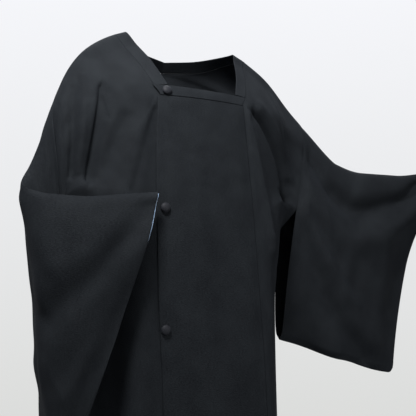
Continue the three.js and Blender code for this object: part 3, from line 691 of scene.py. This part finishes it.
def arrival(side, at):
    """The direction in which the cloth arrives at the far edge."""
    reach = np.abs(at)
    down = ARMHOLE * np.minimum(reach / SEWN_TO_SLEEVE, 1)
    layer = np.where(at < 0, -1, 1)[..., None]
    both = [unit(sleeve_point(side, INTO_SLEEVE, down, k) - sleeve_point(side, 0, down, k))
            for k in (-1, 1)]
    into_sleeve = np.where(layer < 0, both[0], both[1])
    into_side = np.concatenate([0 * layer, -layer, 0 * layer], -1)
    turned = smoothstep(SEWN_TO_SLEEVE - 0.1, 0.6, reach)[..., None]
    return unit(into_sleeve + (into_side - into_sleeve) * turned)


def body_point(side, at, share):
    """Points of a body half, `share` of the way from its inner edge to its far edge."""
    rows = INNER_EDGE[side]
    start, end = place(rows, at), far_edge(side, at)
    gap = np.linalg.norm(end - start, axis=-1)
    handle = (gap * column(rows, "round", at))[..., None]
    slope = column(rows, "fall", at)
    leaving = unit(np.stack([0 * slope + SIGN[side], 0 * slope, slope], -1))
    first, second = start + leaving * handle, end - arrival(side, at) * handle
    start, first, second, end = (p[..., None, :] for p in (start, first, second, end))
    t = np.asarray(share)[:, None]
    s = 1 - t
    return s ** 3 * start + 3 * s * s * t * first + 3 * s * t * t * second + t ** 3 * end


# The neck opening's edge, for the same places as the inner edge.
NECK_EDGE = {
    "right": table(
        "at x y z",
        (-0.17, -67, -90, -117), (-0.10, -86, -51, -60), (-0.05, -103, -22, -24),
        (0.00, -119, 3, 8), (0.04, -104, 36, 4), (0.08, -62, 68, -4), (0.12, -0.04, 84, -12),
    ),
    "left": table(
        "at x y z",
        (-0.17, 76, -91, -118.6), (-0.10, 98, -53, -64), (-0.05, 109, -24, -29),
        (0.00, 118, 3, -2), (0.04, 104, 36, -1), (0.08, 62, 68, -6), (0.12, 0.04, 84, -12),
    ),
}


def band_point(side, at, share):
    """Points of the neckband, between the neck opening's edge and a body half's inner edge."""
    outer = place(INNER_EDGE[side], at)
    inner = place(NECK_EDGE[side], at)
    return inner + (outer - inner) * np.asarray(share)[..., None]


def neck_normal(side, at):
    """The direction in which the cloth faces along the neckband's seam."""
    step = 0.01
    along = (place(INNER_EDGE[side], np.minimum(at + step, BACK_NECK))
             - place(INNER_EDGE[side], at - step))
    across = body_point(side, at, [0.05])[..., 0, :] - band_point(side, at, 0.5)
    return unit(np.cross(along, across)) * -SIGN[side]


BODY_ROWS = ((-HEM, -SEWN_TO_SLEEVE, 100), (-SEWN_TO_SLEEVE, 0, 120),
             (0, SEWN_TO_SLEEVE, 80), (SEWN_TO_SLEEVE, HEM, 80))
BODY_COLUMNS = 110
BODY_WIDTH = 330       # a body half's cloth, seam to seam
BODY_LENGTH = 1870     # front hem to back hem
FOLD_FADE = 0.14       # share of the way across over which folds grow from the seams
CREASE_FADE = 0.05     # the same for creases
for side in ("right", "left"):
    at = np.concatenate([[-HEM], *(np.linspace(a, b, n + 1)[1:] for a, b, n in BODY_ROWS)])
    share = shares(BODY_COLUMNS, 0.15)
    grid = body_point(side, at, share)
    facing = -SIGN[side]
    fade = smoothstep(0, FOLD_FADE, share) * smoothstep(1, 1 - FOLD_FADE, share)
    close_fade = smoothstep(0, CREASE_FADE, share) * smoothstep(1, 1 - CREASE_FADE, share)
    is_front = (at < 0)[:, None]
    for folds, from_seams, uneven in ((BODY_FOLDS, fade, 0), (BODY_CREASES, close_fade, SLACK)):
        flat = grid_normals(grid, facing)
        x, z = grid[..., 0], grid[..., 2]
        height = np.where(is_front, relief(folds[side, "front"], x, z),
                          relief(folds[side, "back"], x, z))
        height = height + slack(21 + SIGN[side], x + 0.5 * grid[..., 1], z * 0.35, uneven)
        grid = grid + flat * (height * from_seams)[..., None]
    across = grid_normals(grid, facing)
    necked = (at >= -BAND_END) & (at <= BACK_NECK)
    across[necked, 0] = neck_normal(side, at[necked])
    for layer, rows in ((-1, (at < 0) & (at >= -SEWN_TO_SLEEVE)),
                        (1, (at >= 0) & (at <= SEWN_TO_SLEEVE))):
        down = ARMHOLE * np.abs(at[rows]) / SEWN_TO_SLEEVE
        across[rows, -1] = armhole_normal(side, down, layer)
    uv = np.stack(np.broadcast_arrays(share[None] * BODY_WIDTH,
                                      (at[:, None] + 1) * 0.5 * BODY_LENGTH), -1)
    lined = (np.abs(at) < 1 - EDGE_FACING) & (np.abs(at) > NECK_FACING)
    lined = lined[:, None] & (share < SIDE_FACING)
    body = cloth_piece(f"body_{side}_cloth", grid, across, uv / (1000 * UV_METRES), facing,
                       (crepe, silk), folded="first last", lined=lined)
    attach(body, "root")
    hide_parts(f"body_{side}")

# ---------------------------------------------------------------------------
# Front panels and neck bars
# Each half has a front panel sewn to its seam. The left one laps over the right one and buttons
# there. A bar of double cloth finishes each panel's top and closes the square neckline.
# ---------------------------------------------------------------------------

LAP_BOW = 8            # how far the front panels stand out between their seams
LAP_CLEAR = 4.5        # how far the upper front panel lies in front of the lower one
PANEL_TOP = 0.2        # places down the front, as for the body halves
BAR_TOP, BAR_FOOT = 0.1705, 0.1985
# Shares of the way between the two front seams: the pieces' free edges, the space at a seam,
# and the crepe turned in along a panel's free edge.
UPPER_PANEL_EDGE, UPPER_BAR_EDGE, LOWER_EDGE = -0.05, -0.02, 0.88
LAP_GAP = 0.0012
PANEL_FACING = 0.12
PANEL_HEM = 0.03       # crepe turned in at a panel's hem, as a share of the length
PANEL_SLACK = 0.5
PANEL_LENGTH, PANEL_WIDTH = 760, 200


def lap_point(at, share, over_right, over_left):
    """Points between the two front seams: 0 on the right one, 1 on the left one."""
    at, share = np.broadcast_arrays(at, share)
    right, left = place(INNER_EDGE["right"], at), place(INNER_EDGE["left"], at)
    points = right + (left - right) * share[..., None]
    points[..., 1] -= LAP_BOW * 4 * share * (1 - share)
    points[..., 1] -= over_right + (over_left - over_right) * share
    return points


def upper_lap(at, share):
    return lap_point(at, share, LAP_CLEAR, 0)


def lower_lap(at, share):
    return lap_point(at, share, 0, -LAP_CLEAR)


# Shallow folds of the panels, in x and z.
PANEL_FOLDS = table(
    FOLD,
    (-70, -700, -86, -900, 0, 0.0, 1.5, 14, 14),
    (60, -320, 96, -620, 0, 0.8, 2.0, 16, 16),
    (96, -560, 108, -900, 0, -0.8, -2.0, 12, 12),
    (0, -420, 20, -900, 0, 0.6, 1.4, 30, 30),
)
for name, lap, low, high, top, foot, folded in (
    ("front_panel_lower", lower_lap, LAP_GAP, LOWER_EDGE, -PANEL_TOP, -HEM, "first far"),
    ("front_panel_upper", upper_lap, UPPER_PANEL_EDGE, 1 - LAP_GAP, -PANEL_TOP, -HEM,
     "first near far"),
    ("neck_bar_lower", lower_lap, LAP_GAP, LOWER_EDGE, -BAR_TOP, -BAR_FOOT, "first last far"),
    ("neck_bar_upper", upper_lap, UPPER_BAR_EDGE, 1 - LAP_GAP, -BAR_TOP, -BAR_FOOT,
     "first last near far"),
):
    is_panel = "panel" in name
    at = np.linspace(foot, top, 190 if is_panel else 16)[:, None]
    share = low + (high - low) * shares(60)[None]
    grid = lap(at, share)
    if is_panel:
        flat = grid_normals(grid, -1)
        edge = (share - low) / (high - low)
        fade = smoothstep(0, 0.08, edge) * smoothstep(1, 0.92, edge)
        fade = fade * smoothstep(-PANEL_TOP, -PANEL_TOP - 0.06, at)
        height = relief(PANEL_FOLDS, grid[..., 0], grid[..., 2])
        height = height + slack(31, grid[..., 0], 0.3 * grid[..., 2], PANEL_SLACK)
        grid = grid + flat * (height * fade)[..., None]
    across = grid_normals(grid, -1)
    down = (at + HEM) * PANEL_LENGTH / (HEM - PANEL_TOP)
    uv = np.stack(np.broadcast_arrays(share * PANEL_WIDTH, down), -1)
    lined = None
    if is_panel:
        is_upper = "upper" in name
        lined = share > PANEL_FACING if is_upper else share < LOWER_EDGE - PANEL_FACING
        lined = lined & (at > -HEM + PANEL_HEM)
    piece = cloth_piece(f"{name}_cloth", grid, across, uv / (1000 * UV_METRES), -1,
                        (crepe, silk), folded=folded, lined=lined)
    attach(piece, "root")
    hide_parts(name)

# ---------------------------------------------------------------------------
# Neckband
# A folded band of the same crepe around the neck opening, one length a side, sewn to the body
# half from the bar over the shoulder to the centre back.
# ---------------------------------------------------------------------------

BAND_GAP = 0.014       # space at the band's seam, as a share of its width
BAND_STEPS = 96
BAND_COLUMNS = 14
BAND_WIDTH = 26
BAND_RUN = 900         # cloth along the band for each unit of place
for side in ("right", "left"):
    at = np.linspace(-BAND_END, BACK_NECK, BAND_STEPS + 1)
    share = shares(BAND_COLUMNS) * (1 - BAND_GAP)
    grid = band_point(side, at[:, None], share[None])
    facing = -SIGN[side]
    across = grid_normals(grid, facing)
    across[:, -1] = neck_normal(side, at)
    across[-1, :, 0] = 0           # the two bands are cut square where they meet
    across[-1] = unit(across[-1])
    uv = np.stack(np.broadcast_arrays(share[None] * BAND_WIDTH, (at[:, None] + 1) * BAND_RUN), -1)
    band = cloth_piece(f"neckband_{side}_cloth", grid, across, uv / (1000 * UV_METRES), facing,
                       (crepe,), folded="near far")
    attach(band, "root")
    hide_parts(f"neckband_{side}", f"neckband_back_{side}")

# ---------------------------------------------------------------------------
# Cuff linings
# The silk lining is felled to the cuff so that its edge stands a little past the crepe, over
# the top fold and down both sides of the hand opening.
# ---------------------------------------------------------------------------

LINING = 1.0
LINING_SHOWS = 1.2     # how far the lining stands past the cuff's edge
LINED = 0.42           # share of the drop down to which the lining shows
LINING_STRIP = 12      # depth of the strip that is built
LINING_SPACING = 3.5   # cloth from one point to the next, around the cuff
for side in ("right", "left"):
    _, rings, across, drops = sleeves[side]
    reach = int((drops < LINED).sum()) - 1
    around = np.arange(-reach, reach + 1) % rings.shape[1]
    inward = 0.5 * CLOTH + 2 * SEAM + 0.5 * LINING
    deep, edge = (rings[k][around] - across[k][around] * inward for k in (-4, -1))
    shown = edge + unit(edge - deep) * LINING_SHOWS
    steps = shares(6)[:, None, None]
    grid = deep + (shown - deep) * steps
    facing = SIGN[side]
    uv = np.stack(np.broadcast_arrays(steps[..., 0] * LINING_STRIP,
                                      around[None] * LINING_SPACING), -1)
    lining = cloth_piece(f"cuff_lining_{side}_silk", grid, grid_normals(grid, facing),
                         uv / (1000 * UV_METRES), facing, (silk,), folded="last",
                         thickness=LINING)
    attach(lining, "root")
    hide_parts(f"cuff_lining_{side}")

# ---------------------------------------------------------------------------
# Tack stitches
# White cotton tacks hold the right sleeve's turned edge below the lining, one every 45 mm or so.
# ---------------------------------------------------------------------------

COTTON = "#e8e6df"
TACK_LENGTH, TACK_THICK = 3.2, 0.9
# Places along the right sleeve, and down its front layer as shares of the drop.
TACKS = ((0.985, 0.27), (0.985, 0.37), (0.985, 0.47), (0.985, 0.56))

# Spun cotton thread, undyed: matt and faintly fuzzy, almost white.
cotton = new_material("white_cotton_thread")
cotton_place = add_node(cotton, "TexCoord")
cotton_twist = add_node(cotton, "TexWave", {
    "Vector": cotton_place.outputs["Object"], "Scale": 400, "Distortion": 1})
cotton_bump = add_node(cotton, "Bump", {
    "Height": cotton_twist.outputs["Fac"], "Strength": 0.3, "Distance": 0.0001})
cotton_shader = add_node(cotton, "BsdfPrincipled", {
    "Base Color": linear(COTTON), "Roughness": 0.9, "Normal": cotton_bump.outputs["Normal"]})
add_node(cotton, "OutputMaterial", {"Surface": cotton_shader.outputs["BSDF"]})


def set_on(name, model, surface, a, b, step, height):
    """A copy of a small piece, its +Z turned forward out of a surface at places a, b."""
    seat = surface(a, b)
    outward = unit(np.cross(surface(a + step, b) - seat, surface(a, b + step) - seat))
    if outward[1] > 0:
        outward = -outward
    piece = bpy.data.objects.new(name, model.data.copy())
    bpy.context.scene.collection.objects.link(piece)
    piece.rotation_euler = Vector(outward).to_track_quat("Z", "Y").to_euler()
    piece.location = Vector(seat + outward * height) / 1000
    bpy.ops.object.select_all(action="DESELECT")
    piece.select_set(True)
    bpy.context.view_layer.objects.active = piece
    bpy.ops.object.transform_apply(location=True, rotation=True, scale=True)
    return piece


def right_front(at, down):
    return sleeve_point("right", at, down, -1)


bpy.ops.object.select_all(action="DESELECT")
bpy.ops.mesh.primitive_cylinder_add(vertices=12, radius=0.5 * TACK_THICK / 1000,
                                    depth=TACK_LENGTH / 1000, rotation=(0, math.pi / 2, 0))
tack = bpy.context.active_object
bpy.ops.object.transform_apply(rotation=True)
rounding = tack.modifiers.new("rounding", "BEVEL")
rounding.width = 0.42 * TACK_THICK / 1000
rounding.segments = 3
bpy.ops.object.modifier_apply(modifier=rounding.name)
tack.data.materials.append(cotton)
tack.data.polygons.foreach_set("use_smooth", [True] * len(tack.data.polygons))
for number, (at, down) in enumerate(TACKS, 1):
    copy = set_on(f"tack_{number}", tack, right_front, at, down, 0.01,
                  0.5 * CLOTH + 0.3 * TACK_THICK)
    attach(copy, "root")
bpy.data.objects.remove(tack)

# ---------------------------------------------------------------------------
# Covered buttons
# Three domed buttons covered with the coat's crepe, sewn by a shank to the upper panel's edge.
# ---------------------------------------------------------------------------

BUTTON = 18            # diameter
BUTTON_RISE = 7        # height of a button over the panel
COVERING_LIGHT = "#15161a"
# Places down the front, and shares of the way between the two front seams.
BUTTONS = (("button_top", -0.187, 0.075), ("button_middle", -0.461, 0.03),
           ("button_lower", -0.671, 0.0))

# The coat's crepe drawn tight over a button mould: the same black, its grain pulled smoother,
# with a painted highlight lightening the raised grain.
covering = new_material("crepe_covered_button")
covering_place = add_node(covering, "TexCoord")
covering_grain = add_node(covering, "TexNoise", {
    "Vector": covering_place.outputs["Object"], "Scale": 1000 / CREPE_PEBBLE, "Detail": 3})
# The grain lightens the covering where it is raised: a painted highlight.
covering_painted_grain_light = add_node(covering, "Mix", {
    0: covering_grain.outputs["Fac"], 6: linear(CREPE_DARK), 7: linear(COVERING_LIGHT)},
    data_type="RGBA")
covering_bump = add_node(covering, "Bump", {
    "Height": covering_grain.outputs["Fac"], "Strength": 0.35, "Distance": 0.0002})
covering_shader = add_node(covering, "BsdfPrincipled", {
    "Base Color": covering_painted_grain_light.outputs[2], "Roughness": 0.6, "Specular IOR Level": 0.06,
    "Sheen Weight": 0.012, "Sheen Roughness": 0.5, "Sheen Tint": linear(CREPE_BLOOM),
    "Normal": covering_bump.outputs["Normal"]})
add_node(covering, "OutputMaterial", {"Surface": covering_shader.outputs["BSDF"]})

bpy.ops.object.select_all(action="DESELECT")
bpy.ops.mesh.primitive_uv_sphere_add(segments=48, ring_count=24, radius=0.5 * BUTTON / 1000)
mould = bpy.context.active_object
rim = 0.3 * BUTTON_RISE / 1000
for vertex in mould.data.vertices:
    up = vertex.co.z / (0.5 * BUTTON / 1000)
    vertex.co.z = rim + (up * (BUTTON_RISE / 1000 - rim) if up > 0 else up * rim)
mould.data.polygons.foreach_set("use_smooth", [True] * len(mould.data.polygons))
mould.data.materials.append(covering)
for name, at, share in BUTTONS:
    button = set_on(f"{name}_covered", mould, upper_lap, at, share, 0.002, 0.5 * CLOTH + SEAM)
    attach(button, "root")
    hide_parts(name)
bpy.data.objects.remove(mould)

# ---------------------------------------------------------------------------
# Studio
# A plain pale floor at a standing wearer's feet, a pale surround, a key light from above on the
# camera's left, a weak low fill, a wide light from above and behind, and the camera.
# ---------------------------------------------------------------------------

FLOOR_DARK, FLOOR_LIGHT = "#cfd1d3", "#d6d8da"
FLOOR_Z = -1.28
floor_paint = new_material("matt_floor_paint")
floor_place = add_node(floor_paint, "TexCoord")
floor_noise = add_node(floor_paint, "TexNoise", {
    "Vector": floor_place.outputs["Object"], "Scale": 3, "Detail": 4})
floor_tone = add_node(floor_paint, "Mix", {
    0: floor_noise.outputs["Fac"], 6: linear(FLOOR_DARK), 7: linear(FLOOR_LIGHT)},
    data_type="RGBA")
floor_shader = add_node(floor_paint, "BsdfPrincipled", {
    "Base Color": floor_tone.outputs[2], "Roughness": 0.7})
add_node(floor_paint, "OutputMaterial", {"Surface": floor_shader.outputs["BSDF"]})
bpy.ops.object.select_all(action="DESELECT")
bpy.ops.mesh.primitive_circle_add(vertices=96, radius=3, fill_type="NGON",
                                  location=(0, 0, FLOOR_Z))
floor = bpy.context.active_object
floor.name = "floor"
bpy.ops.object.transform_apply(location=True)
floor.data.materials.append(floor_paint)

SURROUND_HIGH, SURROUND_LOW = "#f6f7fb", "#d9dad8"
world = bpy.data.worlds.new("pale_surround")
bpy.context.scene.world = world
world.use_nodes = True
world.node_tree.nodes.clear()
way = add_node(world, "TexCoord")
way_axes = add_node(world, "SeparateXYZ", {"Vector": way.outputs["Generated"]})
rise = add_node(world, "MapRange", {
    "Value": way_axes.outputs["Z"], "From Min": -0.15, "From Max": 0.4})
surround = add_node(world, "Mix", {
    0: rise.outputs["Result"], 6: linear(SURROUND_LOW), 7: linear(SURROUND_HIGH)},
    data_type="RGBA")
glow = add_node(world, "Background", {"Color": surround.outputs[2], "Strength": 1.0})
add_node(world, "OutputWorld", {"Surface": glow.outputs["Background"]})


def soft_light(name, place_at, aim, size, power, spread):
    """A square area light that aims at a point, in metres; `spread` is its beam, in degrees."""
    lamp = bpy.data.lights.new(name, "AREA")
    lamp.size = size
    lamp.energy = power
    lamp.spread = math.radians(spread)
    light = bpy.data.objects.new(name, lamp)
    light.location = place_at
    light.rotation_euler = (Vector(aim) - Vector(place_at)).to_track_quat("-Z", "Y").to_euler()
    bpy.context.scene.collection.objects.link(light)


soft_light("key", (-0.6, -0.66, 0.72), (-0.04, 0, -0.03), 0.3, 26, 100)
soft_light("fill", (0.4, -1.5, -0.5), (0.1, 0, -0.6), 0.8, 3.2, 80)
soft_light("top", (0.2, 0.9, 1.5), (0, 0, -0.3), 0.9, 14, 120)
bpy.context.scene.view_settings.view_transform = "Standard"

BACK_TURN = math.radians(-24.4)
BACK_DISTANCE, CAMERA_Z = 1.563, -0.563
YAW, PITCH = math.radians(-2.02), math.radians(8.32)
FOCAL_PIXELS, IMAGE_PIXELS, SENSOR = 801, 416, 36
back = Vector((math.sin(BACK_TURN), -math.cos(BACK_TURN), 0))
level = Vector((-back.x * math.cos(YAW) + back.y * math.sin(YAW),
                -back.x * math.sin(YAW) - back.y * math.cos(YAW), 0))
aim = level * math.cos(PITCH) + Vector((0, 0, math.sin(PITCH)))
lens = bpy.data.cameras.new("camera")
lens.sensor_width = SENSOR
lens.lens = FOCAL_PIXELS / IMAGE_PIXELS * SENSOR
camera = bpy.data.objects.new("camera", lens)
camera.location = back * BACK_DISTANCE + Vector((0, 0, CAMERA_Z))
camera.rotation_euler = aim.to_track_quat("-Z", "Y").to_euler()
bpy.context.scene.collection.objects.link(camera)
bpy.context.scene.camera = camera
